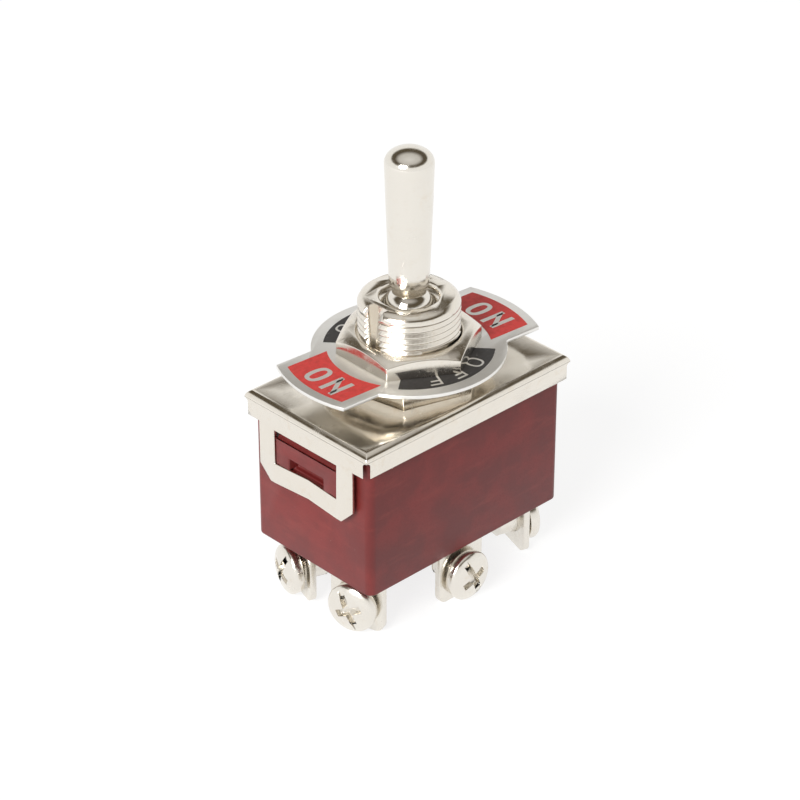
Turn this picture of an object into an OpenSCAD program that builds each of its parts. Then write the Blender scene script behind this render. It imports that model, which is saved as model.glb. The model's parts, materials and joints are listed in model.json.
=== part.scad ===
// Double-pole panel toggle switch with screw terminals, centre-off.
// Z = 0 is the tips of the terminals, the Z axis is the axis of the bushing,
// X runs along the case, in the plane in which the lever tilts.

/* [Case] */
// Length of the moulded case
case_l = 31; // [30:0.5:40]
// Width of the moulded case
case_w = 19.5; // [18.5:0.5:26]
// Height of the moulded case
case_h = 18.8; // [18:0.2:24]
// Radius of the case's upright corners
case_r = 1; // [0.4:0.1:2]
// Thickness of the end walls
end_wall = 1.3; // [1:0.1:1.6]
// Thickness of the side walls
side_wall = 1.2; // [0.8:0.1:1.6]
// Thickness of the floor
floor_t = 2.5; // [1.5:0.1:3]
// Thickness of the wall between the two poles
divider_t = 1.5; // [0.8:0.1:2]
// Height of the lock bosses on the case's ends
boss_h = 4.4; // [3:0.1:5]
// Width of the notch in each lock boss
boss_notch_w = 5.8; // [3:0.1:8]
// Height of the notch in each lock boss
boss_notch_h = 1.6; // [0.8:0.1:2.4]

/* [Cover] */
// Thickness of the cover sheet
cover_t = 0.5; // [0.4:0.05:0.8]
// Height of the cover's flanges, with the top sheet
flange_h = 3.1; // [2.4:0.1:4]
// Outer radius of the cover's bends
bend_r = 1; // [0.8:0.1:1.6]
// Gap between the case's ends and the end flanges
end_gap = 0.5; // [0.2:0.05:1]
// Gap between the case's sides and the side flanges
side_gap = 0.05; // [0.02:0.01:0.3]
// Width of the slit at each corner of the cover
corner_slit = 0.8; // [0.5:0.1:1.2]
// Width of the straps that hold the case
strap_w = 15.6; // [14:0.2:17]
// Width of a strap's legs
strap_leg = 2.55; // [1.5:0.05:3]
// Height of the bar across the foot of a strap
strap_bar = 2.65; // [1.5:0.05:3.5]
// Chamfer on the lower corners of a strap
strap_chamfer = 1.8; // [0.5:0.1:2.4]
// Thickness of the insulating sheet under the cover
insulator_t = 0.4; // [0.2:0.1:0.8]

/* [Bushing and its hardware] */
// Outside diameter of the threaded bushing
thread_d = 12; // [11:0.5:14]
// Pitch of the bushing's thread
thread_pitch = 0.75; // [0.5:0.25:1]
// Height of the bushing above the cover
bushing_h = 10.4; // [9.5:0.1:16]
// Diameter of the bushing's mouth
mouth_d = 7; // [6.6:0.1:8]
// Width of the keyway down the bushing
keyway_w = 2.3; // [1:0.1:3]
// Depth of the keyway
keyway_depth = 1.5; // [0.6:0.1:1.7]
// Distance across the flats of the nuts
nut_af = 15; // [14:0.5:18]
// Thickness of each nut
nut_t = 2.3; // [1.6:0.1:3]
// Outside diameter of the lock washer
washer_d = 20.4; // [17:0.2:22]
// Thickness of the lock washer
washer_t = 0.8; // [0.4:0.1:1]
// Number of teeth inside the lock washer
washer_teeth = 12; // [8:1:16]
// Diameter of the round part of the legend plate
plate_d = 22.8; // [21:0.2:26]
// Span of the legend plate over its two tabs
plate_span = 31.7; // [28:0.1:33]
// Width of the legend plate's tabs
plate_tab_w = 12.4; // [8:0.2:14]
// Thickness of the legend plate
plate_t = 0.45; // [0.3:0.05:0.8]
// Turn of the legend plate about the bushing
plate_turn = -4.5; // [-10:0.5:10]

/* [Lever] */
// Height of the lever's top above the cover
lever_top = 29; // [24:0.5:40]
// Diameter of the bat near its top
bat_top_d = 5.75; // [5:0.05:7]
// Diameter of the bat at its foot
bat_foot_d = 4.7; // [4.2:0.05:5.4]
// Diameter of the neck above the ball
neck_d = 4; // [3.4:0.1:4.4]
// Diameter of the pivot ball
ball_d = 6.2; // [5.6:0.1:6.4]
// Depth of the ball's centre below the bushing's top
pivot_depth = 2; // [1.6:0.1:2.6]
// Diameter of the lever's tail below the ball
tail_d = 2.6; // [2:0.1:3]
// Diameter of the cross pin through the ball
pin_d = 1.5; // [1:0.1:2]
// Length of the cross pin
pin_l = 8.6; // [7.6:0.1:9]

/* [Contact mechanism] */
// Height of the insulating carrier on the lever's tail
carrier_h = 7; // [5:0.5:8]
// Diameter of the carrier's hub
carrier_hub_d = 6; // [5:0.1:6.6]
// Width of the webs between the carrier's hub and its sleeves
carrier_web_w = 3.4; // [2.6:0.1:4.4]
// Thickness of the roof over the plunger springs
carrier_roof = 1; // [0.6:0.1:1.4]
// Wall of the carrier's sleeves
sleeve_wall = 0.75; // [0.5:0.05:0.9]
// Diameter of the plungers
plunger_d = 3.1; // [2.4:0.1:3.4]
// Length of a plunger inside its sleeve
plunger_grip = 2.2; // [1.6:0.1:2.6]
// Radius of a plunger's tip
tip_r = 1.2; // [0.8:0.05:1.4]
// Wire diameter of the plunger springs
wire_d = 0.35; // [0.2:0.05:0.45]
// Number of turns of each plunger spring
spring_turns = 6; // [4:1:7]
// Width of the rocking contact bars
rocker_w = 4.4; // [3.4:0.1:5]
// Thickness of the rocking contact bars
rocker_t = 0.7; // [0.4:0.05:1]
// Gap between the open contacts while the lever is upright
contact_gap = 1.75; // [1.75:0.05:2.4]
// Slope of the wings of the rocking bars
wing_angle = 12; // [8:1:16]
// Diameter of the contact buttons
button_d = 2.6; // [1.8:0.1:3]
// Height of the contact buttons
button_h = 0.6; // [0.3:0.05:0.9]

/* [Terminals] */
// Length of the terminals below the case
tab_drop = 7.2; // [6.8:0.2:10]
// Width of the terminals
tab_w = 7; // [6:0.2:8]
// Thickness of the terminal metal
tab_t = 0.8; // [0.6:0.05:1]
// Radius of the terminals' lower corners
tab_r = 1.2; // [0.4:0.1:2]
// Width of the terminals where they pass through the floor
neck_w = 4.5; // [3.5:0.1:5]
// Distance of the end terminals from the case's ends
end_inset = 2.6; // [2.4:0.1:3.2]
// Distance of the middle terminals from the case's sides
mid_inset = 1.25; // [1.2:0.05:1.6]
// Outward turn of the end terminals
splay = 18; // [0:1:20]
// Height of the screws above the terminals' tips
screw_z = 3.3; // [3.3:0.1:4]
// Diameter of the screw heads
head_d = 6.2; // [5:0.1:6.4]
// Height of the screw heads
head_h = 1.9; // [1.2:0.1:2.4]
// Thread diameter of the screws
screw_d = 3.5; // [2.5:0.5:4]
// Length of the screws under their heads
screw_l = 4; // [3:0.5:5]
// Gap for a wire under each screw head
wire_gap = 0.5; // [0.2:0.1:0.8]

/* [Hidden] */

$fn = 64;
e = 0.01;          // overlap of solids that are joined
slip = 0.05;       // clearance of pieces that slide or drop into each other
fit = 0.02;        // clearance of pieces that are pressed or screwed together

// heights of the layers
case_z = tab_drop;
floor_z = case_z + floor_t;
case_top = case_z + case_h;
cover_under = case_top + insulator_t;
face_z = cover_under + cover_t;         // top face of the cover
washer_z = face_z + nut_t;
plate_z = washer_z + washer_t;
top_nut_z = plate_z + plate_t;
bushing_top = face_z + bushing_h;
pivot_z = bushing_top - pivot_depth;

// inside of the case
cavity_l = case_l - 2 * end_wall;
cavity_w = case_w - 2 * side_wall;
cavity_r = 0.8;
divider_clear = 1.3;                    // between the divider and the swinging carrier
pole_y = (divider_t + cavity_w) / 4;    // centre line of each pole

// cover and straps
cover_l = case_l + 2 * (end_gap + cover_t);
cover_w = case_w + 2 * (side_gap + cover_t);
inner_bend = bend_r - cover_t;
window_w = strap_w - 2 * strap_leg;
window_top = face_z - flange_h - 0.2;
window_foot = window_top - boss_h - 0.15;
strap_foot = window_foot - strap_bar;
crimp = end_gap - slip;                 // the strap's bar is pressed in this far
boss_top = window_top - 0.1;
boss_w = window_w - 0.2;
boss_proud = end_gap + cover_t - 0.15;
boss_r = 0.9;
boss_bevel = 0.9;

// bushing
spigot_d = thread_d - 2;
collar_t = 0.6;
collar_d = thread_d - 0.2;
insulator_play = 0.6;                   // the collar's play in the insulating sheet
throat_rise = 0.9;                      // height of the ball's seat edge over its centre
bore_d = mouth_d;
top_chamfer = 0.7;
hole_clear = 0.05;                      // washer and plate around the thread
tooth_l = 1.5;                          // length of the washer's teeth
// threads in mesh are drawn at their pitch line, the free thread at its crest
mesh_r = thread_d / 2 - 0.325 * thread_pitch;

// lever and carrier
bat_foot_z = pivot_z + ball_d / 2 + 0.5;
dome_h = 1.9;
carrier_top = case_top - 1.6;
carrier_z = carrier_top - carrier_h;
rivet_tail_d = tail_d - 0.2;
tail_peen_h = 0.5;

// rocking contact: when it is closed, its buttons just meet the fixed ones
rib_r = 0.7;
flat_half = 1.6;                        // half length of the level middle of a bar
contact_reach = 3.3;                    // contacts lie this far inside the end terminals
end_x = case_l / 2 - end_inset;
mid_y = case_w / 2 - mid_inset;
contact_x = end_x - contact_reach;
wing_flat = 2.5;                        // level stretch between a wing and its button
wing_end = contact_x - button_d / 2 - wing_flat;
wing_rise = (wing_end - flat_half) * tan(wing_angle);
rocker_half = contact_x + button_d / 2 + 0.1;
platform_top = floor_z + tab_t;
axis_z = platform_top + 2 * button_h + contact_gap - wing_rise;
rivet_d = button_d * 0.5;
peen_d = button_d * 0.75;
peen_h = 0.3;
rocker_top = axis_z + rocker_t;
plunger_top = carrier_z + plunger_grip;
plunger_shoulder = carrier_z - 0.6;     // foot of a plunger's full diameter
plunger_taper = 0.5;
tip_z = rocker_top + slip + tip_r;

// fulcrum of the middle terminals
ear_gap = 1;                            // gap between the two ears
ear_top = axis_z - 0.3;
ear_half = 2;

// terminals
end_y = pole_y + 0.35;
platform_end = contact_reach + button_d / 2 + 0.3;

module rounded_rect(l, w, r) {
  square([l - 2 * r, w], center = true);
  square([l, w - 2 * r], center = true);
  for (x = [-1, 1], y = [-1, 1])
    translate([x * (l / 2 - r), y * (w / 2 - r)]) circle(r);
}

// section with its top at y = 0 and rounded upper corners
module arch(w, h, r) {
  translate([-w / 2, -h]) square([w, h - r]);
  translate([-w / 2 + r, -h]) square([w - 2 * r, h]);
  for (x = [-1, 1])
    translate([x * (w / 2 - r), -r]) circle(r);
}

// box whose four upper edges are rounded, with its top at z = 0
module folded_box(l, w, h, r) {
  intersection() {
    rotate([90, 0, 90]) linear_extrude(l, center = true) arch(w, h, r);
    rotate([90, 0, 0]) linear_extrude(w, center = true) arch(l, h, r);
  }
}

// places its children at the end terminal of quarter (sx, sy), local +X outwards
module at_end_terminal(sx, sy) {
  flip_x = sx < 0 ? [1, 0, 0] : [0, 0, 0];
  flip_y = sy < 0 ? [0, 1, 0] : [0, 0, 0];
  mirror(flip_x) mirror(flip_y)
    translate([end_x, end_y, 0]) rotate(splay) children();
}

// places its children at the middle terminal of side sy, local +X outwards
module at_mid_terminal(sy) {
  translate([0, sy * mid_y, 0]) rotate(sy * 90) children();
}

// ---------------------------------------------------------------- case

module lock_boss() {
  difference() {
    translate([case_l / 2 - e, 0, boss_top])
      rotate([90, 0, 90]) linear_extrude(boss_proud + e) arch(boss_w, boss_h, boss_r);
    // bevel along the upper edge
    translate([case_l / 2 + boss_proud, 0, boss_top])
      rotate([0, 35, 0]) cube([boss_bevel, boss_w + 1, 2 * boss_bevel], center = true);
  }
}

module boss_notch() {
  translate([case_l / 2 - end_wall / 2, -boss_notch_w / 2, boss_top - boss_h - e])
    cube([end_wall + boss_proud, boss_notch_w, boss_notch_h]);
}

module terminal_slot() {
  slot_t = tab_t + 2 * slip;
  slot_w = neck_w + 2 * slip;
  translate([-slot_t / 2, -slot_w / 2, case_z - 1]) cube([slot_t, slot_w, floor_t + tab_t + 1.2]);
}

module case() {
  color([0.5, 0.22, 0.21]) {
    difference() {
      union() {
        translate([0, 0, case_z]) linear_extrude(case_h) rounded_rect(case_l, case_w, case_r);
        for (m = [0, 1]) mirror([m, 0, 0]) lock_boss();
      }
      translate([0, 0, floor_z]) linear_extrude(case_h) rounded_rect(cavity_l, cavity_w, cavity_r);
      for (m = [0, 1]) mirror([m, 0, 0]) boss_notch();
      for (sx = [-1, 1], sy = [-1, 1]) at_end_terminal(sx, sy) terminal_slot();
      for (sy = [-1, 1]) at_mid_terminal(sy) terminal_slot();
    }
    translate([-cavity_l / 2 - e, -divider_t / 2, floor_z - e])
      cube([cavity_l + 2 * e, divider_t, carrier_z - divider_clear - floor_z]);
  }
}

module insulator() {
  l = cover_l - 2 * bend_r - 2 * slip;
  w = cover_w - 2 * bend_r - 2 * slip;
  color([0.35, 0.28, 0.2])
    translate([0, 0, case_top]) linear_extrude(insulator_t) difference() {
      rounded_rect(l, w, cavity_r);
      circle(d = collar_d + insulator_play);
    }
}

// --------------------------------------------------------------- cover

module strap_outline() {
  half = strap_w / 2;
  top = face_z - flange_h / 2;
  polygon([[-half, top], [half, top],
           [half, strap_foot + strap_chamfer], [half - strap_chamfer, strap_foot],
           [strap_chamfer - half, strap_foot], [-half, strap_foot + strap_chamfer]]);
}

// plan of the strap's foot bar, whose middle is pressed in against the case
module crimped_plan() {
  xo = cover_l / 2;
  half = strap_w / 2;
  hw = window_w / 2;
  polygon([[xo, -half], [xo, -hw], [xo - crimp, 0], [xo, hw], [xo, half],
           [xo - cover_t, half], [xo - cover_t, hw], [xo - cover_t - crimp, 0],
           [xo - cover_t, -hw], [xo - cover_t, -half]]);
}

module strap() {
  difference() {
    translate([cover_l / 2 - cover_t, 0, 0]) rotate([90, 0, 90]) linear_extrude(cover_t)
      intersection() {
        strap_outline();
        translate([-strap_w, window_foot - e]) square([2 * strap_w, flange_h + boss_h + 1]);
      }
    translate([cover_l / 2 - 2 * cover_t, -window_w / 2, window_foot - 1])
      cube([3 * cover_t, window_w, window_top - window_foot + 1]);
  }
  intersection() {
    translate([cover_l / 2 - 3 * cover_t, 0, 0])
      rotate([90, 0, 90]) linear_extrude(4 * cover_t) strap_outline();
    translate([0, 0, strap_foot - 1]) linear_extrude(strap_bar + 1) crimped_plan();
  }
}

module corner_slits() {
  for (sx = [-1, 1], sy = [-1, 1])
    translate([sx * cover_l / 2, sy * cover_w / 2, face_z - bend_r - corner_slit / 2])
      rotate(sx * sy * 45) {
        translate([-2, -corner_slit / 2, -2 * flange_h]) cube([4, corner_slit, 2 * flange_h]);
        rotate([0, 90, 0]) cylinder(d = corner_slit, h = 4, center = true);
      }
}

module cover() {
  color([0.78, 0.76, 0.72]) {
    difference() {
      translate([0, 0, face_z]) folded_box(cover_l, cover_w, flange_h, bend_r);
      translate([0, 0, cover_under])
        folded_box(cover_l - 2 * cover_t, cover_w - 2 * cover_t, 2 * flange_h, inner_bend);
      corner_slits();
      translate([0, 0, case_top]) cylinder(d = spigot_d + 2 * fit, h = 2);
    }
    for (m = [0, 1]) mirror([m, 0, 0]) strap();
  }
}

// ------------------------------------------------------------- bushing

module bushing() {
  color([0.8, 0.78, 0.74]) difference() {
    union() {
      // stretch inside the nuts, free thread, and bevelled top
      rotate_extrude() polygon([[0, face_z], [mesh_r, face_z], [mesh_r, top_nut_z + nut_t],
        [thread_d / 2, top_nut_z + nut_t],
        [thread_d / 2, bushing_top - top_chamfer - 0.1],
        [thread_d / 2 - 0.25, bushing_top - top_chamfer / 2],
        [thread_d / 2 - top_chamfer, bushing_top], [0, bushing_top]]);
      // spigot through the cover, and the collar swaged out under it
      translate([0, 0, case_top - 0.2]) cylinder(d = spigot_d, h = face_z - case_top + 0.2 + e);
      translate([0, 0, cover_under - collar_t]) cylinder(d = collar_d, h = collar_t);
    }
    // throat, mouth with its rounded lip, seat of the ball, and bore
    translate([0, 0, pivot_z]) cylinder(r = throat_r(), h = bushing_h);
    translate([0, 0, pivot_z + throat_rise + 0.4]) cylinder(d = mouth_d, h = bushing_h);
    translate([0, 0, pivot_z + throat_rise])
      cylinder(r1 = throat_r(), r2 = mouth_d / 2, h = 0.4 + e);
    translate([0, 0, bushing_top - 0.2])
      cylinder(r1 = mouth_d / 2, r2 = mouth_d / 2 + 0.3, h = 0.2 + e);
    translate([0, 0, pivot_z]) sphere(d = ball_d + 2 * slip);
    translate([0, 0, case_z]) cylinder(d = bore_d, h = pivot_z - 0.3 - case_z);
    // keyway
    translate([-thread_d, -keyway_w / 2, face_z + 0.4])
      cube([thread_d / 2 + keyway_depth, keyway_w, bushing_h]);
    // two slots that guide the cross pin and end in its bearings
    translate([0, 0, pivot_z]) rotate([90, 0, 0])
      cylinder(d = pin_d + 2 * slip, h = pin_l + 4 * slip, center = true);
    translate([-pin_d / 2 - slip, -pin_l / 2 - 2 * slip, case_z])
      cube([pin_d + 2 * slip, pin_l + 4 * slip, pivot_z - case_z]);
  }
}

function throat_r() = sqrt(pow(ball_d / 2 + slip, 2) - pow(throat_rise, 2));

// nut with a 30 degree chamfer on one or both faces
module hex_nut(z, turn) {
  corner = nut_af / 2 / cos(30);
  bevel = (corner - nut_af / 2 + 0.2) * tan(30);
  translate([0, 0, z]) difference() {
    intersection() {
      rotate(30 + turn) cylinder(r = corner, h = nut_t, $fn = 6);
      union() {
        cylinder(r = corner + 0.1, h = nut_t - bevel);
        translate([0, 0, nut_t - bevel - e])
          cylinder(r1 = corner + 0.1, r2 = nut_af / 2 - 0.2, h = bevel + e);
      }
    }
    translate([0, 0, -1]) cylinder(r = mesh_r + fit, h = nut_t + 2);
    translate([0, 0, nut_t - 0.4 + e]) cylinder(r1 = mesh_r + fit, r2 = thread_d / 2 + 0.3, h = 0.4);
  }
}

module lower_nut() { color([0.76, 0.74, 0.7]) hex_nut(face_z, 12); }

module top_nut() { color([0.78, 0.76, 0.72]) hex_nut(top_nut_z, -1); }

module lock_washer() {
  root_d = thread_d + 2 * tooth_l;
  tooth_w = PI * root_d / washer_teeth / 2;
  color([0.74, 0.72, 0.68])
    translate([0, 0, washer_z]) linear_extrude(washer_t) difference() {
      circle(d = washer_d);
      difference() {
        circle(d = root_d);
        for (i = [0 : washer_teeth - 1])
          rotate(i * 360 / washer_teeth) translate([0, -tooth_w / 2]) square([root_d, tooth_w]);
      }
      circle(d = thread_d + 2 * hole_clear);
    }
}

module legend_plate() {
  color([0.82, 0.82, 0.82])
    translate([0, 0, plate_z]) rotate(plate_turn) linear_extrude(plate_t) difference() {
      union() {
        circle(d = plate_d);
        intersection() {
          circle(d = plate_span);
          square([plate_span, plate_tab_w], center = true);
        }
      }
      circle(d = thread_d + 2 * hole_clear);
    }
}

// --------------------------------------------------------------- lever

module lever() {
  top_z = face_z + lever_top;
  shoulder_z = top_z - dome_h;
  neck_z = pivot_z + sqrt(pow(ball_d / 2, 2) - pow(neck_d / 2, 2)) - 0.1;
  dome = [for (a = [0 : 7.5 : 90])
    [bat_top_d / 2 * cos(a), shoulder_z + dome_h * pow(sin(a), 0.9)]];
  color([0.8, 0.78, 0.74]) difference() {
    union() {
      rotate_extrude() polygon(concat(
        [[0, neck_z], [neck_d / 2, neck_z], [neck_d / 2, neck_z + 0.25],
         [bat_foot_d / 2 - 0.1, bat_foot_z - 0.25], [bat_foot_d / 2, bat_foot_z]], dome));
      translate([0, 0, pivot_z]) sphere(d = ball_d);
      translate([0, 0, carrier_top]) cylinder(d = tail_d, h = pivot_z - carrier_top);
      translate([0, 0, carrier_z - e]) cylinder(d = rivet_tail_d, h = carrier_h + 2 * e);
      // riveted end under the carrier
      translate([0, 0, carrier_z - tail_peen_h]) cylinder(d = tail_d + 1.2, h = tail_peen_h);
    }
    translate([0, 0, pivot_z]) rotate([90, 0, 0])
      cylinder(d = pin_d + fit, h = ball_d + 1, center = true);
  }
}

module pivot_pin() {
  color([0.7, 0.7, 0.7])
    translate([0, 0, pivot_z]) rotate([90, 0, 0]) cylinder(d = pin_d, h = pin_l, center = true);
}

module carrier() {
  sleeve_r = plunger_d / 2 + slip + sleeve_wall;
  color([0.2, 0.2, 0.2]) translate([0, 0, carrier_z]) difference() {
    linear_extrude(carrier_h) {
      circle(d = carrier_hub_d);
      square([carrier_web_w, 2 * pole_y], center = true);
      for (s = [-1, 1]) translate([0, s * pole_y]) circle(r = sleeve_r);
    }
    translate([0, 0, -1]) cylinder(d = rivet_tail_d + 2 * fit, h = carrier_h + 2);
    for (s = [-1, 1])
      translate([0, s * pole_y, -1])
        cylinder(d = plunger_d + 2 * slip, h = carrier_h - carrier_roof + 1);
  }
}

// ------------------------------------------------- plungers and springs

module plunger(s) {
  taper_z = plunger_shoulder - plunger_taper;
  color([0.8, 0.65, 0.3]) translate([0, s * pole_y, 0]) {
    translate([0, 0, plunger_shoulder])
      cylinder(d = plunger_d, h = plunger_top - plunger_shoulder);
    translate([0, 0, taper_z]) cylinder(r1 = tip_r, r2 = plunger_d / 2, h = plunger_taper + e);
    translate([0, 0, tip_z]) cylinder(r = tip_r, h = taper_z - tip_z + e);
    translate([0, 0, tip_z]) sphere(r = tip_r);
  }
}

// coil spring: rings of six points swept along a helix
module spring(s) {
  low = plunger_top + slip + wire_d / 2;
  high = carrier_top - carrier_roof - slip - wire_d / 2;
  coil_r = plunger_d / 2 - 0.1 - wire_d / 2;
  per_turn = 18;
  sides = 6;
  rings = spring_turns * per_turn;
  points = [for (i = [0 : rings], j = [0 : sides - 1])
    let (turn = 360 * i / per_turn, side = 360 * j / sides, r = coil_r + wire_d / 2 * cos(side))
      [r * cos(turn), r * sin(turn), low + (high - low) * i / rings + wire_d / 2 * sin(side)]];
  skin = [for (i = [0 : rings - 1], j = [0 : sides - 1])
    let (a = i * sides + j, b = i * sides + (j + 1) % sides)
      [a, a + sides, b + sides, b]];
  caps = [[for (j = [0 : sides - 1]) j],
          [for (j = [sides - 1 : -1 : 0]) rings * sides + j]];
  color([0.7, 0.7, 0.72]) translate([0, s * pole_y, 0]) polyhedron(points, concat(skin, caps));
}

module plunger_front() { plunger(-1); }
module plunger_back() { plunger(1); }
module spring_front() { spring(-1); }
module spring_back() { spring(1); }

// ------------------------------------------------------ rocking contacts

// contact bar with a level middle, rising wings and level ends
module rocker(s) {
  run = [[-rocker_half, wing_rise], [-wing_end, wing_rise], [-flat_half, 0],
         [flat_half, 0], [wing_end, wing_rise], [rocker_half, wing_rise]];
  outline = concat(run, [for (i = [5 : -1 : 0]) run[i] + [0, rocker_t]]);
  color([0.75, 0.55, 0.35]) translate([0, s * pole_y, axis_z]) difference() {
    union() {
      rotate([90, 0, 0]) linear_extrude(rocker_w, center = true) polygon(outline);
      // half-round rib that rests in the fulcrum
      intersection() {
        rotate([90, 0, 0]) cylinder(r = rib_r, h = rocker_w, center = true);
        translate([-rib_r, -rocker_w, -rib_r]) cube([2 * rib_r, 2 * rocker_w, rib_r + rocker_t / 2]);
      }
    }
    for (x = [-contact_x, contact_x])
      translate([x, 0, 0]) cylinder(d = rivet_d + fit, h = wing_rise + 2);
  }
}

// button that hangs from z = 0, with its bevelled face down, and the rivet's shank above it
module contact_button(shank) {
  bevel = 0.15;
  translate([0, 0, -button_h]) cylinder(d1 = button_d - 2 * bevel, d2 = button_d, h = bevel);
  translate([0, 0, bevel - button_h - e]) cylinder(d = button_d, h = button_h - bevel + e);
  translate([0, 0, -e]) cylinder(d = rivet_d, h = shank + 2 * e);
}

// contact rivet whose end is peened over on top of the bar
module contact_rivet(grip) {
  contact_button(grip);
  translate([0, 0, grip]) cylinder(d1 = peen_d, d2 = peen_d - 0.3, h = peen_h);
}

module rocker_rivets(s) {
  color([0.85, 0.85, 0.85])
    for (x = [-contact_x, contact_x])
      translate([x, s * pole_y, axis_z + wing_rise]) contact_rivet(rocker_t);
}

module rocker_front() { rocker(-1); }
module rocker_back() { rocker(1); }
module rocker_rivets_front() { rocker_rivets(-1); }
module rocker_rivets_back() { rocker_rivets(1); }

// ------------------------------------------------------------ terminals

module tab_outline() {
  flat_w = tab_w - 2 * tab_r;
  translate([-tab_w / 2, tab_r]) square([tab_w, case_z - tab_r]);
  translate([-flat_w / 2, 0]) square([flat_w, tab_r + e]);
  for (s = [-1, 1]) translate([s * flat_w / 2, tab_r]) circle(tab_r);
}

// the tab below the case, with its screw hole, and its neck through the floor
module tab() {
  difference() {
    union() {
      translate([-tab_t / 2, 0, 0]) rotate([90, 0, 90]) linear_extrude(tab_t) tab_outline();
      translate([-tab_t / 2, -neck_w / 2, case_z - e])
        cube([tab_t, neck_w, platform_top - case_z + e]);
    }
    translate([0, 0, screw_z]) rotate([0, 90, 0])
      cylinder(d = screw_d + 2 * fit, h = 4 * tab_t, center = true);
  }
}

// button's place on the platform, off the centre line because of the splay
button_at = [-(contact_reach * cos(splay) + (end_y - pole_y) * sin(splay)),
             contact_reach * sin(splay) - (end_y - pole_y) * cos(splay)];

module end_terminal(sx, sy) {
  color([0.8, 0.78, 0.74]) at_end_terminal(sx, sy) {
    tab();
    difference() {
      translate([-platform_end, -neck_w / 2, floor_z])
        cube([platform_end - tab_t / 2 + e, neck_w, tab_t]);
      translate([button_at[0], button_at[1], floor_z - 1]) cylinder(d = rivet_d + fit, h = 3);
      translate([button_at[0], button_at[1], floor_z - e])
        cylinder(d = peen_d + fit, h = peen_h + e);
    }
  }
}

module fixed_rivets() {
  color([0.85, 0.85, 0.85])
    for (sx = [-1, 1], sy = [-1, 1])
      at_end_terminal(sx, sy) translate([button_at[0], button_at[1], platform_top])
        mirror([0, 0, 1]) contact_rivet_flush();
}

// rivet whose peened side lies inside the platform
module contact_rivet_flush() {
  contact_button(tab_t - peen_h);
  translate([0, 0, tab_t - peen_h]) cylinder(d = peen_d, h = peen_h);
}

// middle terminal: its foot runs in under the bar and turns up in two ears
module mid_terminal(s) {
  reach = mid_y - pole_y;                // from the tab to the pole's centre line
  ear_out = ear_gap / 2 + tab_t;
  color([0.8, 0.78, 0.74]) at_mid_terminal(s) {
    tab();
    difference() {
      union() {
        translate([-reach - ear_out, -ear_half, floor_z])
          cube([reach + ear_out - tab_t / 2 + e, 2 * ear_half, tab_t]);
        for (x = [-reach - ear_out, -reach + ear_gap / 2])
          translate([x, -ear_half, floor_z]) cube([tab_t, 2 * ear_half, ear_top - floor_z]);
      }
      translate([-reach, 0, axis_z]) rotate([0, 90, 0])
        cylinder(r = rib_r + slip, h = 4 * ear_out, center = true);
    }
  }
}

module terminal_left_front() { end_terminal(-1, -1); }
module terminal_left_back() { end_terminal(-1, 1); }
module terminal_right_front() { end_terminal(1, -1); }
module terminal_right_back() { end_terminal(1, 1); }
module terminal_mid_front() { mid_terminal(-1); }
module terminal_mid_back() { mid_terminal(1); }

// --------------------------------------------------------------- screws

// pan head screw along +X, with a slot across its head and a cross recess
module screw() {
  seat = tab_t / 2 + wire_gap;
  rim = head_h * 0.45;
  crown = [for (a = [0 : 10 : 90])
    [head_d / 2 - (head_d / 2) * (1 - cos(a)), rim + (head_h - rim) * sin(a)]];
  color([0.86, 0.84, 0.8]) translate([0, 0, screw_z]) rotate([0, 90, 0]) difference() {
    union() {
      translate([0, 0, seat])
        rotate_extrude() polygon(concat([[0, 0], [head_d / 2 - 0.1, 0]], crown));
      translate([0, 0, seat - screw_l + 0.4]) cylinder(d = screw_d, h = screw_l - 0.4 + e);
      translate([0, 0, seat - screw_l]) cylinder(d1 = screw_d - 0.8, d2 = screw_d, h = 0.4 + e);
    }
    translate([0, 0, seat + head_h]) rotate(25) {
      cube([head_d + 1, 0.75, 1.1], center = true);
      cube([0.9, head_d * 0.55, 2], center = true);
      cube([head_d * 0.55, 0.9, 2], center = true);
    }
  }
}

module screw_left_front() { at_end_terminal(-1, -1) screw(); }
module screw_left_back() { at_end_terminal(-1, 1) screw(); }
module screw_right_front() { at_end_terminal(1, -1) screw(); }
module screw_right_back() { at_end_terminal(1, 1) screw(); }
module screw_mid_front() { at_mid_terminal(-1) screw(); }
module screw_mid_back() { at_mid_terminal(1) screw(); }

case();
insulator();
cover();
bushing();
lower_nut();
lock_washer();
legend_plate();
top_nut();
lever();
pivot_pin();
carrier();
plunger_front();
plunger_back();
spring_front();
spring_back();
rocker_front();
rocker_back();
rocker_rivets_front();
rocker_rivets_back();
terminal_left_front();
terminal_left_back();
terminal_right_front();
terminal_right_back();
terminal_mid_front();
terminal_mid_back();
fixed_rivets();
screw_left_front();
screw_left_back();
screw_right_front();
screw_right_back();
screw_mid_front();
screw_mid_back();
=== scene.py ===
"""Panel toggle switch: finishes, rounded edges, thread, lever, springs, printed plate and light."""

import json
import math

import bmesh
import bpy
from mathutils import Matrix, Vector

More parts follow.
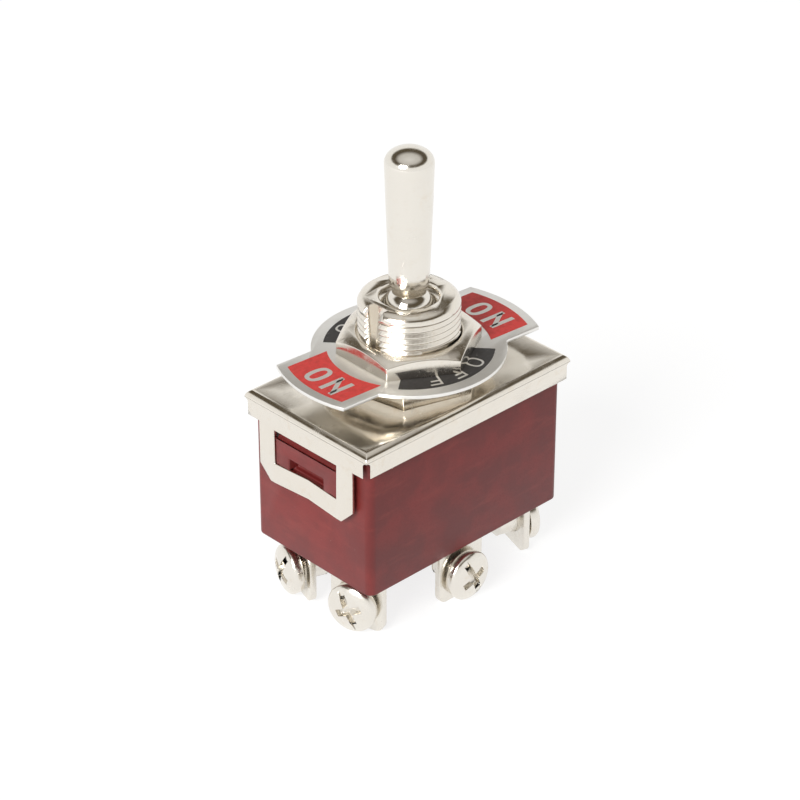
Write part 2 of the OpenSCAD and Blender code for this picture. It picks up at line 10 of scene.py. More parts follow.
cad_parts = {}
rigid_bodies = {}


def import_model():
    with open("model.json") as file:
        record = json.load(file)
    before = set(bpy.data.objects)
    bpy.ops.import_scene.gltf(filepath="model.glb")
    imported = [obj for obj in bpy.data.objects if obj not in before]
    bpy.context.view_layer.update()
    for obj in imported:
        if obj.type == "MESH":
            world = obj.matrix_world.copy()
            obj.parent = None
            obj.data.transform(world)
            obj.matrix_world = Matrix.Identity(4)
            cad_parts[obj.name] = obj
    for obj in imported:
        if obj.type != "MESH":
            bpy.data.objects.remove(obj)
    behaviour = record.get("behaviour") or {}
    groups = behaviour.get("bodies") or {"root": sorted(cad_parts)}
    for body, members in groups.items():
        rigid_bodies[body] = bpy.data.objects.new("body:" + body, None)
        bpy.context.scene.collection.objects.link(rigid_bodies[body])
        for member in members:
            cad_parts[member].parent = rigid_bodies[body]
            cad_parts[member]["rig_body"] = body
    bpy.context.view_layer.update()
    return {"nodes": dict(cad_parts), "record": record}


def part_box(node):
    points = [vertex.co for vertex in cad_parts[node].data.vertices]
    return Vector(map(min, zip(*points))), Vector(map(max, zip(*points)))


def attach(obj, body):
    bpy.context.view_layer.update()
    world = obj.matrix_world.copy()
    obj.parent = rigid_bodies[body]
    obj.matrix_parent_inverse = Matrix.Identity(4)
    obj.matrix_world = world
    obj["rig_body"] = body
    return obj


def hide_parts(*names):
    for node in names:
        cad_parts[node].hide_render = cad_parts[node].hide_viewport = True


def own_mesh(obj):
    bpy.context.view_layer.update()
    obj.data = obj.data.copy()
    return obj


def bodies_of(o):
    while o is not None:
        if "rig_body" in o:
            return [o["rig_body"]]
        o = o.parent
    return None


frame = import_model()
MM = 0.001
SLOT_OF = {part["node"]: part["material_slot"] for part in frame["record"]["subparts"]}


# ---------------------------------------------------------------- camera

CAMERA_TARGET = (-4.9525, -3.6526, 26.727)
CAMERA_AZIMUTH, CAMERA_ELEVATION = math.radians(-43.793), math.radians(31.111)
CAMERA_DISTANCE = 343.442
CAMERA_SENSOR, CAMERA_LENS = 36, 134.83
NEAREST, FARTHEST = 0.01, 20


def place_camera():
    back = Vector((math.sin(CAMERA_AZIMUTH) * math.cos(CAMERA_ELEVATION),
                   -math.cos(CAMERA_AZIMUTH) * math.cos(CAMERA_ELEVATION),
                   math.sin(CAMERA_ELEVATION)))
    data = bpy.data.cameras.new("camera")
    data.sensor_width, data.lens = CAMERA_SENSOR, CAMERA_LENS
    data.clip_start, data.clip_end = NEAREST, FARTHEST
    camera = bpy.data.objects.new("camera", data)
    camera.location = Vector(CAMERA_TARGET) * MM + back * (CAMERA_DISTANCE * MM)
    camera.rotation_mode = "QUATERNION"
    camera.rotation_quaternion = back.to_track_quat("Z", "Y")
    bpy.context.collection.objects.link(camera)
    bpy.context.scene.camera = camera


# ---------------------------------------------------------------- shader sums

class Wire:
    """A socket that takes part in Python sums; each sum adds its Math node."""

    def __init__(self, graph, socket):
        self.graph, self.socket = graph, socket

    def combined(self, operation, *values):
        return self.graph.node("Math", {"operation": operation}, values)

    def other(self, output):
        """Another output of the same node."""
        return Wire(self.graph, self.socket.node.outputs[output])

    def __add__(self, other): return self.combined("ADD", self, other)
    def __radd__(self, other): return self.combined("ADD", other, self)
    def __rsub__(self, other): return self.combined("SUBTRACT", other, self)
    def __mul__(self, other): return self.combined("MULTIPLY", self, other)
    def __rmul__(self, other): return self.combined("MULTIPLY", other, self)
    def __lt__(self, other): return self.combined("LESS_THAN", self, other)


class Graph:
    """A node tree whose nodes all come from one method."""

    def __init__(self, tree):
        self.tree = tree

    def node(self, kind, settings=None, sockets=(), output=0):
        """A node with its settings, then its sockets' values or wires; gives one of its outputs."""
        made = self.tree.nodes.new("ShaderNode" + kind)
        for name, value in (settings or {}).items():
            if name == "stops":
                while len(made.color_ramp.elements) < len(value):
                    made.color_ramp.elements.new(1.0)
                for stop, (position, colour) in zip(made.color_ramp.elements, value):
                    stop.position, stop.color = position, (*colour, 1)
            else:
                setattr(made, name, value)
        pairs = sockets.items() if isinstance(sockets, dict) else enumerate(sockets)
        for key, value in pairs:
            self.feed(made.inputs[key], value)
        return Wire(self, made.outputs[output]) if made.outputs else None

    def feed(self, socket, value):
        if isinstance(value, Wire):
            self.tree.links.new(value.socket, socket)
        elif isinstance(value, tuple) and len(value) == 3 and socket.type == "RGBA":
            socket.default_value = (*value, 1)
        else:
            socket.default_value = value


class Finish(Graph):
    """A node material whose coordinates are millimetres of the switch's own frame."""

    def __init__(self, name, **constants):
        self.material = bpy.data.materials.new(name)
        self.material.use_nodes = True
        super().__init__(self.material.node_tree)
        self.shader = self.tree.nodes["Principled BSDF"]
        for socket, value in constants.items():
            self.shader.inputs[socket.replace("_", " ")].default_value = value
        at = self.node("TexCoord", output="Object")
        self.place = self.node("VectorMath", {"operation": "SCALE"}, {0: at, 3: 1 / MM})

    def drive(self, **values):
        for socket, value in values.items():
            self.feed(self.shader.inputs[socket.replace("_", " ")], value)

    def mix(self, factor, first, second):
        return self.node("Mix", {"data_type": "RGBA"}, {0: factor, 6: first, 7: second}, 2)

    def step(self, value, low, high):
        """0 below low, 1 above high, smooth between; low may be the larger."""
        return self.node("MapRange", {"interpolation_type": "SMOOTHSTEP"},
                         {0: value, 1: low, 2: high, 3: 0.0, 4: 1.0})

    def stretched(self, x, y, z):
        return self.node("VectorMath", {"operation": "MULTIPLY"}, [self.place, (x, y, z)])

    def clouds(self, scale, detail=3.0, at=None, rough=0.55):
        """Noise around 0.5, scale in features per millimetre."""
        return self.node("TexNoise", None,
                         {"Vector": at or self.place, "Scale": scale, "Detail": detail,
                          "Roughness": rough})

    def specks(self, spacing, size, share):
        """1 on scattered specks: one cell each spacing mm, a share of them filled."""
        cells = self.node("TexVoronoi", None, {"Vector": self.place, "Scale": 1 / spacing})
        tone = self.node("SeparateColor", None, [cells.other("Color")])
        return self.step(cells, size / spacing, 0.5 * size / spacing) * (tone < share)

    def bump(self, height, distance):
        """height in 0..1 stands for distance millimetres."""
        return self.node("Bump", None, {"Strength": 1.0, "Distance": distance * MM,
                                        "Height": height})


# ---------------------------------------------------------------- finishes

def moulded_phenolic():
    """Maroon phenolic: mottled resin, satin skin with faint flow marks and dust."""
    f = Finish("maroon_phenolic", IOR=1.5)
    body = f.clouds(0.22, 4)
    grain = f.clouds(6.0, 2)
    flow = f.clouds(0.5, 3, f.stretched(0.35, 0.35, 1.6))
    tone = f.mix(f.step(body, 0.35, 0.68), (0.145, 0.0135, 0.0125), (0.205, 0.021, 0.019))
    tone = f.mix(f.step(flow, 0.52, 0.75) * 0.5, tone, (0.24, 0.032, 0.026))
    tone = f.mix(f.step(grain, 0.5, 0.72) * 0.35, tone, (0.115, 0.012, 0.011))
    dust = f.specks(1.3, 0.055, 0.16)
    tone = f.mix(dust * 0.55, tone, (0.55, 0.42, 0.38))
    f.drive(Base_Color=tone,
            Roughness=0.36 + 0.12 * body + 0.10 * grain + 0.2 * dust,
            Normal=f.bump(0.7 * grain + 0.3 * flow, 0.012))
    return f.material


def vulcanised_fibre():
    f = Finish("brown_fibre", IOR=1.45)
    threads = f.clouds(2.0, 4, f.stretched(0.2, 3.0, 1.0))
    blotch = f.clouds(0.4, 3)
    tone = f.mix(threads, (0.16, 0.085, 0.04), (0.30, 0.18, 0.09))
    tone = f.mix(f.step(blotch, 0.5, 0.8) * 0.5, tone, (0.10, 0.05, 0.03))
    f.drive(Base_Color=tone, Roughness=0.68 + 0.15 * threads, Normal=f.bump(threads, 0.03))
    return f.material


def bright_nickel(name, tint, rough, grain_axes, tarnish=0.25, dents=0.004):
    """Nickel plate: fine marks along the grain, hazy patches, warm tarnish and dust."""
    f = Finish(name, Metallic=1.0)
    haze = f.clouds(0.35, 4)
    marks = f.clouds(5.0, 3, f.stretched(*grain_axes))
    patch = f.clouds(0.9, 4, rough=0.65)
    dust = f.specks(1.1, 0.05, 0.12)
    warm = tuple(c * k for c, k in zip(tint, (0.86, 0.74, 0.58)))
    tone = f.mix(f.step(patch, 0.52, 0.78) * tarnish, tint, warm)
    tone = f.mix(f.step(marks, 0.56, 0.8) * 0.18, tone, tuple(0.72 * c for c in tint))
    tone = f.mix(dust * 0.7, tone, (0.92, 0.9, 0.86))
    f.drive(Base_Color=tone, Metallic=1 - 0.8 * dust,
            Roughness=rough + 0.16 * f.step(haze, 0.45, 0.8) + 0.10 * f.step(marks, 0.5, 0.8)
            + 0.5 * dust,
            Normal=f.bump(0.6 * marks + 0.4 * haze, dents))
    return f.material


def satin_aluminium():
    """Plate stock brushed along its length, with hazy patches and dust."""
    f = Finish("satin_aluminium", Metallic=1.0)
    brushed = f.clouds(9.0, 3, f.stretched(0.06, 1.0, 1.0))
    haze = f.clouds(0.5, 3)
    dust = f.specks(0.9, 0.045, 0.12)
    tone = f.mix(brushed, (0.80, 0.79, 0.76), (0.93, 0.915, 0.88))
    tone = f.mix(f.step(haze, 0.55, 0.8) * 0.3, tone, (0.74, 0.71, 0.66))
    f.drive(Base_Color=tone, Roughness=0.30 + 0.14 * brushed + 0.08 * haze + 0.3 * dust,
            Normal=f.bump(brushed, 0.006))
    return f.material


def printed_ink(name, colour, worn):
    """Screen-printed ink: small thin places, a few scuffs and dust."""
    f = Finish(name, IOR=1.46)
    cover = f.clouds(1.6, 4)
    pores = f.clouds(14.0, 2)
    scuff = f.step(f.clouds(3.0, 4, f.stretched(0.3, 2.4, 1.0)), 0.63, 0.72)
    dust = f.specks(0.8, 0.045, 0.2)
    tone = f.mix(f.step(cover, 0.35, 0.75), colour, tuple(0.8 * c for c in colour))
    tone = f.mix(scuff * worn, tone, (0.62, 0.6, 0.57))
    tone = f.mix(dust * 0.8, tone, (0.85, 0.83, 0.8))
    f.drive(Base_Color=tone, Roughness=0.34 + 0.16 * cover + 0.1 * pores,
            Normal=f.bump(0.5 * pores + 0.5 * cover, 0.005))
    return f.material


def bare_metal(name, light, dark, rough, scale=3.0):
    """Plain inner metal: mottled, with fine tool marks."""
    f = Finish(name, Metallic=1.0)
    mottle = f.clouds(0.8, 4)
    marks = f.clouds(scale, 3, f.stretched(1.0, 1.0, 5.0))
    tone = f.mix(0.5 * mottle + 0.5 * marks, dark, light)
    f.drive(Base_Color=tone, Roughness=rough + 0.2 * mottle + 0.1 * marks,
            Normal=f.bump(marks, 0.006))
    return f.material


def black_moulding():
    f = Finish("black_moulding", IOR=1.48)
    skin = f.clouds(4.0, 3)
    cloud = f.clouds(0.6, 3)
    f.drive(Base_Color=f.mix(cloud, (0.018, 0.018, 0.018), (0.045, 0.043, 0.042)),
            Roughness=0.48 + 0.2 * skin, Normal=f.bump(skin, 0.015))
    return f.material


NICKEL = (0.80, 0.755, 0.68)
FINISHES = {
    "phenolic": moulded_phenolic(),
    "fibre": vulcanised_fibre(),
    "nickel_sheet": bright_nickel("nickel_sheet", (0.79, 0.745, 0.67), 0.13, (0.08, 1.6, 1.6)),
    "nickel_turned": bright_nickel("nickel_turned", NICKEL, 0.16, (0.4, 0.4, 4.0), 0.4),
    "nickel_nut": bright_nickel("nickel_nut", NICKEL, 0.17, (1.0, 1.0, 0.4), 0.3),
    "nickel_lever": bright_nickel("nickel_lever", (0.80, 0.765, 0.70), 0.11, (0.5, 0.5, 2.5), 0.2),
    "nickel_terminal": bright_nickel("nickel_terminal", (0.79, 0.755, 0.69), 0.22, (1.2, 1.2, 0.3)),
    "nickel_screw": bright_nickel("nickel_screw", (0.80, 0.765, 0.70), 0.20, (1.5, 1.5, 1.5)),
    "plate_aluminium": satin_aluminium(),
    "red_ink": printed_ink("red_ink", (0.66, 0.042, 0.034), 0.10),
    "black_ink": printed_ink("black_ink", (0.028, 0.025, 0.024), 0.16),
    "steel_inner": bare_metal("plain_steel", (0.62, 0.61, 0.60), (0.44, 0.43, 0.42), 0.28),
    "carrier_plastic": black_moulding(),
    "brass_inner": bare_metal("turned_brass", (0.80, 0.62, 0.30), (0.60, 0.43, 0.18), 0.24),
    "copper_inner": bare_metal("stamped_copper", (0.74, 0.43, 0.26), (0.52, 0.27, 0.15), 0.30),
    "silver_contact": bare_metal("silver_contact", (0.88, 0.87, 0.85), (0.70, 0.68, 0.65), 0.22),
}


# ---------------------------------------------------------------- mesh work

def piece_from(bm, name, body, finish, nodes=(), sharp=38):
    """Turns a mesh in the switch's frame, in metres, into a piece riding on its body."""
    mesh = bpy.data.meshes.new(name)
    bm.to_mesh(mesh)
    bm.free()
    for face in mesh.polygons:
        face.use_smooth = True
    mesh.set_sharp_from_angle(angle=math.radians(sharp))
    piece = bpy.data.objects.new(name, mesh)
    bpy.context.collection.objects.link(piece)
    mesh.materials.append(FINISHES[finish])
    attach(piece, body)
    if nodes:
        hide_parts(*nodes)
    return piece


def solid_of(node):
    """The node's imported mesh, welded and freed of flat triangles."""
    weld, flat = 1e-6, math.radians(0.6)
    bm = bmesh.new()
    bm.from_mesh(frame["nodes"][node].data)
    bmesh.ops.remove_doubles(bm, verts=bm.verts, dist=weld)
    bmesh.ops.dissolve_limit(bm, angle_limit=flat, verts=bm.verts, edges=bm.edges)
    return bm


def body_of(node):
    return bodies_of(frame["nodes"][node])[0]


def applied(bm, modifiers):
    """The mesh after these modifiers: (kind, settings) each."""
    mesh = bpy.data.meshes.new("blank")
    bm.to_mesh(mesh)
    bm.free()
    blank = bpy.data.objects.new("blank", mesh)
    bpy.context.collection.objects.link(blank)
    for kind, settings in modifiers:
        modifier = blank.modifiers.new(kind.lower(), kind)
        for name, value in settings.items():
            setattr(modifier, name, value)
    shaped = blank.evaluated_get(bpy.context.evaluated_depsgraph_get())
    result = bmesh.new()
    result.from_mesh(shaped.to_mesh())
    bpy.data.objects.remove(blank)
    bpy.data.meshes.remove(mesh)
    return result


def softened(node, width, angle=32, sharp=50):
    """The node with its edges rounded to width millimetres."""
    rounding = {"width": width * MM, "segments": 2, "limit_method": "ANGLE",
                "angle_limit": math.radians(angle), "use_clamp_overlap": False,
                "harden_normals": False, "miter_outer": "MITER_SHARP"}
    bm = applied(solid_of(node), [("BEVEL", rounding)])
    return piece_from(bm, node + "_finished", body_of(node), SLOT_OF[node], [node], sharp)


def lathe(profile, steps=96):
    """Surface turned from (radius, height) pairs, in millimetres; radius 0 is a single point."""
    bm = bmesh.new()
    rings = []
    for radius, height in profile:
        if radius < 1e-6:
            rings.append([bm.verts.new((0, 0, height * MM))])
        else:
            rings.append([bm.verts.new((radius * MM * math.cos(2 * math.pi * k / steps),
                                        radius * MM * math.sin(2 * math.pi * k / steps),
                                        height * MM)) for k in range(steps)])
    for low, high in zip(rings, rings[1:]):
        for k in range(steps):
            n = (k + 1) % steps
            if len(low) == 1:
                bm.faces.new((low[0], high[n], high[k]))
            elif len(high) == 1:
                bm.faces.new((low[k], low[n], high[0]))
            else:
                bm.faces.new((low[k], low[n], high[n], high[k]))
    bm.normal_update()
    return bm


def tube_along(points, radius, sides=12):
    """Round bar through points, its ends closed."""
    bm = bmesh.new()
    rings = []
    for k, point in enumerate(points):
        ahead = (points[min(k + 1, len(points) - 1)] - points[max(k - 1, 0)]).normalized()
        side = ahead.cross(Vector((0, 0, 1))).normalized()
        up = side.cross(ahead)
        rings.append([bm.verts.new(point + radius * (math.cos(2 * math.pi * j / sides) * side
                                                     + math.sin(2 * math.pi * j / sides) * up))
                      for j in range(sides)])
    for low, high in zip(rings, rings[1:]):
        for j in range(sides):
            n = (j + 1) % sides
            bm.faces.new((low[j], high[j], high[n], low[n]))
    bm.faces.new(rings[0])
    bm.faces.new(reversed(rings[-1]))
    bmesh.ops.recalc_face_normals(bm, faces=bm.faces)
    return bm


# ---------------------------------------------------------------- bushing

THREAD_R, THREAD_ROOT, THREAD_PITCH = 6.0, 5.56, 0.75
THREAD_BELOW_NUT = 0.35         # the thread starts this far under the top nut's face
THREAD_BELOW_TOP = 0.95         # and ends this far under the bushing's top


def thread_cutter(z_low, z_high):
    """A V-shaped bar wound as a helix, to be cut out of the bushing."""
    steps = 72                                  # points in a turn
    runout = 0.8                                # turns in which the groove gets shallow
    tip, back = 0.04, 0.5 * THREAD_PITCH * 0.84  # half widths of the bar
    clear, back_clear = 0.02, 0.05              # how far it stands out of the bushing
    bm = bmesh.new()
    turns = (z_high - z_low) / THREAD_PITCH
    count = int(turns * steps)
    rings = []
    for k in range(count + 1):
        angle = 2 * math.pi * k / steps
        z = z_low + THREAD_PITCH * k / steps
        depth = min(1.0, (count - k) / (runout * steps)) * (THREAD_R + clear - THREAD_ROOT)
        ring = []
        for r, dz in ((THREAD_R + clear - depth, -tip), (THREAD_R + clear - depth, tip),
                      (THREAD_R + back_clear, back), (THREAD_R + back_clear, -back)):
            ring.append(bm.verts.new((r * MM * math.cos(angle), r * MM * math.sin(angle),
                                      (z + dz) * MM)))
        rings.append(ring)
    for low, high in zip(rings, rings[1:]):
        for j in range(4):
            n = (j + 1) % 4
            bm.faces.new((low[j], low[n], high[n], high[j]))
    bm.faces.new(rings[0])
    bm.faces.new(reversed(rings[-1]))
    bmesh.ops.recalc_face_normals(bm, faces=bm.faces)
    return bm


def cut(bm, tool_bm):
    """bm with the tool's shape taken out of it."""
    mesh = bpy.data.meshes.new("tool")
    tool_bm.to_mesh(mesh)
    tool_bm.free()
    tool = bpy.data.objects.new("tool", mesh)
    bpy.context.collection.objects.link(tool)
    result = applied(bm, [("BOOLEAN", {"object": tool, "operation": "DIFFERENCE",
                                       "solver": "EXACT"})])
    bpy.data.objects.remove(tool)
    bpy.data.meshes.remove(mesh)
    return result


def threaded_bushing():
    """The turned bushing with its thread above the nut."""
    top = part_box("bushing")[1].z / MM
    nut_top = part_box("top_nut")[1].z / MM
    cutter = thread_cutter(nut_top - THREAD_BELOW_NUT, top - THREAD_BELOW_TOP)
    bm = cut(solid_of("bushing"), cutter)
    bmesh.ops.remove_doubles(bm, verts=bm.verts, dist=2e-6)
    return piece_from(bm, "bushing_threaded", body_of("bushing"), "nickel_turned", ["bushing"], 34)


# ---------------------------------------------------------------- lever

BALL_R = 3.1
NECK_R = 2.0
DOME_H = 1.9
# the bat, from its foot: radius, height above the foot
BAT = [(2.35, 0), (2.45, 2.4), (2.58, 6.1), (2.72, 10.1), (2.83, 13.7), (2.87, 14.7), (2.875, 15.1)]
# the neck and the bevel under the bat, radius, height above the pivot
NECK = [(NECK_R, 2.4), (NECK_R, 2.5), (2.02, 2.6), (2.23, 3.25), (2.27, 3.38)]
BAT_FOOT = 3.6                  # above the pivot
# the riveted end and the tail inside the carrier, radius, height above the lever's lowest point
TAIL = [(0, 0), (1.75, 0), (1.9, 0.15), (1.9, 0.4), (1.8, 0.5), (1.2, 0.5), (1.2, 7.45), (1.3, 7.5)]


def polished_lever():
    """The turned bat, its ball and tail in one piece, on the lever's own axis."""
    low, high = (corner.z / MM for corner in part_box("lever"))
    tilt = next(j for j in frame["record"]["behaviour"]["joints"] if j["name"] == "lever_tilt")
    pivot = tilt["pos_m"][2] / MM
    ball = [(BALL_R * math.sin(a), pivot - BALL_R * math.cos(a))
            for a in (math.radians(25 + 4.5 * k) for k in range(26))]
    ball = [(r, z) for r, z in ball if r > NECK_R or z < pivot]
    dome = [(BAT[-1][0] * math.cos(a), high - DOME_H + DOME_H * math.sin(a) ** 0.9)
            for a in (math.radians(4.5 * k) for k in range(1, 20))]
    profile = [(r, low + h) for r, h in TAIL] + [(TAIL[-1][0], ball[0][1] - 0.05)] + ball
    profile += [(r, pivot + h) for r, h in NECK]
    profile += [(r, pivot + BAT_FOOT + h) for r, h in BAT] + dome + [(0, high)]
    bm = lathe(profile)
    bmesh.ops.recalc_face_normals(bm, faces=bm.faces)
    return piece_from(bm, "lever_polished", "lever", "nickel_lever", ["lever"], 36)


# ---------------------------------------------------------------- springs

WIRE_R = 0.175
SPRING_TURNS = 6


def coil_spring(node):
    """Compression spring wound to fill the node's box."""
    steps = 28                  # points in a turn
    low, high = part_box(node)
    centre = (low + high) / 2
    wire = WIRE_R * MM
    seat = 0.88 * wire          # from the ends of the spring to its wire's middle
    radius = (high.x - low.x) / 2 - wire
    bottom, top = low.z + seat, high.z - seat
    points = []
    for k in range(SPRING_TURNS * steps + 1):
        share = k / (SPRING_TURNS * steps)
        angle = 2 * math.pi * k / steps
        points.append(Vector((centre.x + radius * math.cos(angle),
                              centre.y + radius * math.sin(angle),
                              bottom + (top - bottom) * share)))
    bm = tube_along(points, wire, 10)
    spring = piece_from(bm, node + "_wound", body_of(node), "steel_inner", [node], 60)
    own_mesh(spring)


# ---------------------------------------------------------------- printed plate

PLATE_TURN = math.radians(-4.5)
PLATE_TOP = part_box("legend_plate")[1].z
FIELD_R, FIELD_INNER_R, FIELD_HALF = 14.75, 9.6, 5.0    # the red fields: rims and half width
ARC_R, ARC_INNER_R = 10.0, 7.3                          # the black arcs
ARC_SWEEP = math.radians(46.5)                          # to each side of their middle
INK_LIFT, LETTER_LIFT = 0.006, 0.012                    # above the plate
ON_TALL, ON_STROKE = 3.45, 0.62
OFF_R = 8.45                                            # where the letters of OFF stand


def flat_print(outlines, name, finish, height):
    """Thin ink or bare figures on the plate: outlines are closed loops or (outer, inner) rings."""
    bm = bmesh.new()
    turn = Matrix.Rotation(PLATE_TURN, 3, "Z")
    z = PLATE_TOP + height * MM

    def corner(point):
        return bm.verts.new(turn @ Vector((point[0] * MM, point[1] * MM, 0)) + Vector((0, 0, z)))
    for outline in outlines:
        if isinstance(outline, tuple):
            outer, inner = ([corner(p) for p in loop] for loop in outline)
            for k in range(len(outer)):
                n = (k + 1) % len(outer)
                bm.faces.new((outer[k], outer[n], inner[n], inner[k]))
        else:
            bm.faces.new([corner(p) for p in outline])
    for face in bm.faces:
        face.normal_update()
        if face.normal.z < 0:
            face.normal_flip()
    bmesh.ops.triangulate(bm, faces=[f for f in bm.faces if len(f.verts) > 4])
    return piece_from(bm, name, "housing", finish)


def arc(radius, start, end, steps):
    return [(radius * math.cos(start + (end - start) * k / steps),
             radius * math.sin(start + (end - start) * k / steps)) for k in range(steps + 1)]


def oval_ring(wide, tall, stroke, power=2.5, steps=48):
    """Letter O about its own centre: outer loop and inner loop."""
    def loop(a, b):
        points = []
        for k in range(steps):
            t = 2 * math.pi * k / steps
            c, s = math.cos(t), math.sin(t)
            points.append((a * math.copysign(abs(c) ** (2 / power), c),
                           b * math.copysign(abs(s) ** (2 / power), s)))
        return points
    return loop(wide / 2, tall / 2), loop(wide / 2 - stroke, tall / 2 - 0.82 * stroke)


def letter_n(wide, tall, stroke):
    a, b = wide / 2, tall / 2
    slant = stroke * 1.22
    return [[(-a, -b), (-a + stroke, -b), (-a + stroke, b), (-a, b)],
            [(a - stroke, -b), (a, -b), (a, b), (a - stroke, b)],
            [(-a + stroke * 0.5, b), (-a + stroke * 0.5, b - slant * 1.3),
             (a - stroke * 0.5, -b), (a - stroke * 0.5, -b + slant * 1.3)]]


def letter_f(wide, tall, stroke):
    a, b = wide / 2, tall / 2
    middle = 0.08 * tall
    return [[(-a, -b), (-a + stroke, -b), (-a + stroke, b), (-a, b)],
            [(-a + stroke, b - stroke), (a, b - stroke), (a, b), (-a + stroke, b)],
            [(-a + stroke, middle - stroke / 2), (a - 0.25, middle - stroke / 2),
             (a - 0.25, middle + stroke / 2), (-a + stroke, middle + stroke / 2)]]


def placed(outlines, x, y, up):
    """Outlines moved to (x, y) with their tops towards the angle up."""
    c, s = math.cos(up - math.pi / 2), math.sin(up - math.pi / 2)

    def move(loop):
        return [(x + c * u - s * v, y + s * u + c * v) for u, v in loop]
    return [tuple(move(loop) for loop in o) if isinstance(o, tuple) else move(o)
            for o in outlines]


def legend_prints():
    """Red ON fields on the two tabs, black OFF arcs front and back, bare lettering."""
    fields, ring_faces, words, small_words = [], [], [], []
    for side in (0, math.pi):
        half, inner_half = math.asin(FIELD_HALF / FIELD_R), math.asin(FIELD_HALF / FIELD_INNER_R)
        fields.append(arc(FIELD_R, side - half, side + half, 16)
                      + arc(FIELD_INNER_R, side + inner_half, side - inner_half, 16))
        flank = side + math.pi / 2
        outer = arc(ARC_R, flank - ARC_SWEEP, flank + ARC_SWEEP, 40)
        inner = arc(ARC_INNER_R, flank - ARC_SWEEP, flank + ARC_SWEEP, 40)
        for k in range(len(outer) - 1):
            ring_faces.append([outer[k], outer[k + 1], inner[k + 1], inner[k]])
    for x in (-12.2, 11.85):
        words += placed([oval_ring(2.25, ON_TALL, ON_STROKE)], x, 1.4, 0)
        words += placed(letter_n(2.35, ON_TALL, ON_STROKE), x, -1.92, 0)
    for turn in (0, math.pi):
        for degrees, shape in ((-66.5, [oval_ring(1.85, 2.15, 0.30)]),
                               (-88.5, letter_f(1.5, 2.1, 0.28)),
                               (-109.5, letter_f(1.5, 2.1, 0.28))):
            angle = math.radians(degrees) + turn
            small_words += placed(shape, OFF_R * math.cos(angle), OFF_R * math.sin(angle), angle)
    flat_print(fields, "print_red_fields", "red_ink", INK_LIFT)
    flat_print(ring_faces, "print_black_arcs", "black_ink", INK_LIFT)
    flat_print(words, "print_on_letters", "plate_aluminium", LETTER_LIFT)
    flat_print(small_words, "print_off_letters", "plate_aluminium", LETTER_LIFT)


# ---------------------------------------------------------------- rounded and plain nodes

# widths of the rounded edges, in millimetres
EDGE_WIDTHS = {"case": 0.16, "cover": 0.10, "insulator": 0.05, "legend_plate": 0.05,
               "lower_nut": 0.07, "top_nut": 0.07, "lock_washer": 0.06, "carrier": 0.10}
PLAIN_NODES = ["pivot_pin", "plunger_front", "plunger_back", "rocker_front", "rocker_back",
               "rocker_rivets_front", "rocker_rivets_back", "fixed_rivets"]
TERMINAL_EDGE, SCREW_EDGE, SCREW_EDGE_ANGLE = 0.07, 0.05, 40
CORNERS = [side + "_" + end for side in ("left", "mid", "right") for end in ("front", "back")]


def dress_nodes():
    for node, width in EDGE_WIDTHS.items():
        softened(node, width)
    for corner in CORNERS:
        softened("terminal_" + corner, TERMINAL_EDGE)
        softened("screw_" + corner, SCREW_EDGE, SCREW_EDGE_ANGLE)
    for node in PLAIN_NODES:
        obj = frame["nodes"][node]
        obj.data.materials.clear()
        obj.data.materials.append(FINISHES[SLOT_OF[node]])


# ---------------------------------------------------------------- light and floor

KEY_PLACE, KEY_AIM = (-0.72, -0.18, 0.52), (0, 0, 0.025)
KEY_SIZE, KEY_POWER = 0.42, 7.0
FLOOR_HALF = 1.6
FLOOR_GLOW = 0.82
DULL_LIGHT = 0.42               # strength of the room for everything but reflections
# the room as it is reflected: share of the way from the horizon to overhead, colour
ROOM = [(0.0, (1.0, 1.0, 1.0)), (0.30, (0.97, 0.96, 0.94)), (0.37, (0.11, 0.09, 0.06)),
        (0.52, (0.10, 0.08, 0.055)), (0.66, (0.62, 0.60, 0.57)), (1.0, (0.80, 0.79, 0.77))]


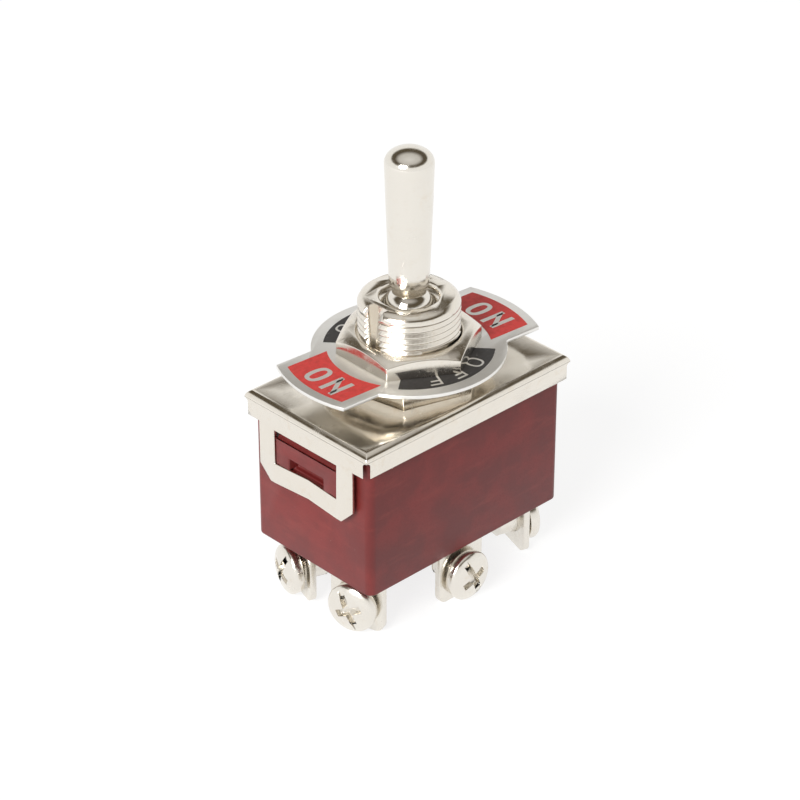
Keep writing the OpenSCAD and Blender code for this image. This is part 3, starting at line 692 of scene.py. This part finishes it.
def light_world():
    """A pale room with a dark band half way up, and mild light for dull surfaces."""
    world = bpy.data.worlds.new("studio")
    bpy.context.scene.world = world
    world.use_nodes = True
    graph = Graph(world.node_tree)
    graph.tree.nodes.clear()
    way = graph.node("TexCoord", output="Generated")
    upward = graph.node("SeparateXYZ", None, [way], "Z")
    elevation = graph.node("Math", {"operation": "ARCSINE"}, [upward])
    share = graph.node("MapRange", None, {0: elevation, 1: 0, 2: math.pi / 2})
    room = graph.node("ValToRGB", {"stops": ROOM}, [share])
    dull = graph.node("Background", None, [(1, 0.99, 0.97), DULL_LIGHT])
    shiny = graph.node("Background", None, [room])
    seen = graph.node("Background", None, [(1, 1, 1), 1])
    path = graph.node("LightPath", output="Is Glossy Ray")
    lit = graph.node("MixShader", None, [path, dull, shiny])
    shown = graph.node("MixShader", None, [path.other("Is Camera Ray"), lit, seen])
    graph.node("OutputWorld", None, [shown])


def softbox(name, place, aim, size, power):
    data = bpy.data.lights.new(name, "AREA")
    data.shape, data.size, data.energy = "SQUARE", size, power
    lamp = bpy.data.objects.new(name, data)
    lamp.location = place
    lamp.rotation_mode = "QUATERNION"
    lamp.rotation_quaternion = (Vector(place) - Vector(aim)).to_track_quat("Z", "Y")
    bpy.context.collection.objects.link(lamp)


def floor_paper():
    """Plain paper for the light that falls on it, near white for what sees or mirrors it."""
    material = bpy.data.materials.new("floor_paper")
    material.use_nodes = True
    graph = Graph(material.node_tree)
    graph.tree.nodes.clear()
    path = graph.node("LightPath", output="Is Camera Ray")
    mirrored = path.combined("MAXIMUM", path.other("Is Glossy Ray"),
                             path.other("Is Transmission Ray"))
    seen = path.combined("MAXIMUM", path, mirrored)
    plain = graph.node("BsdfDiffuse", None, {"Color": (0.80, 0.80, 0.79)})
    matt = graph.node("BsdfDiffuse", None, {"Color": (0.26, 0.26, 0.26)})
    glow = graph.node("Emission", None, {"Color": (1.0, 1.0, 1.0), "Strength": FLOOR_GLOW})
    both = graph.node("AddShader", None, [matt, glow])
    surface = graph.node("MixShader", None, [seen, plain, both])
    graph.node("OutputMaterial", None, [surface])
    return material


def white_floor():
    """A wide pale sheet that reads as white and keeps a soft shadow."""
    bm = bmesh.new()
    for x, y in ((-1, -1), (1, -1), (1, 1), (-1, 1)):
        bm.verts.new((x * FLOOR_HALF, y * FLOOR_HALF, 0))
    bm.faces.new(bm.verts)
    mesh = bpy.data.meshes.new("floor")
    bm.to_mesh(mesh)
    bm.free()
    floor = bpy.data.objects.new("floor", mesh)
    bpy.context.collection.objects.link(floor)
    mesh.materials.append(floor_paper())


# ---------------------------------------------------------------- making

place_camera()
bpy.context.scene.view_settings.view_transform = "Standard"
light_world()
softbox("key", KEY_PLACE, KEY_AIM, KEY_SIZE, KEY_POWER)
white_floor()
dress_nodes()
threaded_bushing()
polished_lever()
coil_spring("spring_front")
coil_spring("spring_back")
legend_prints()
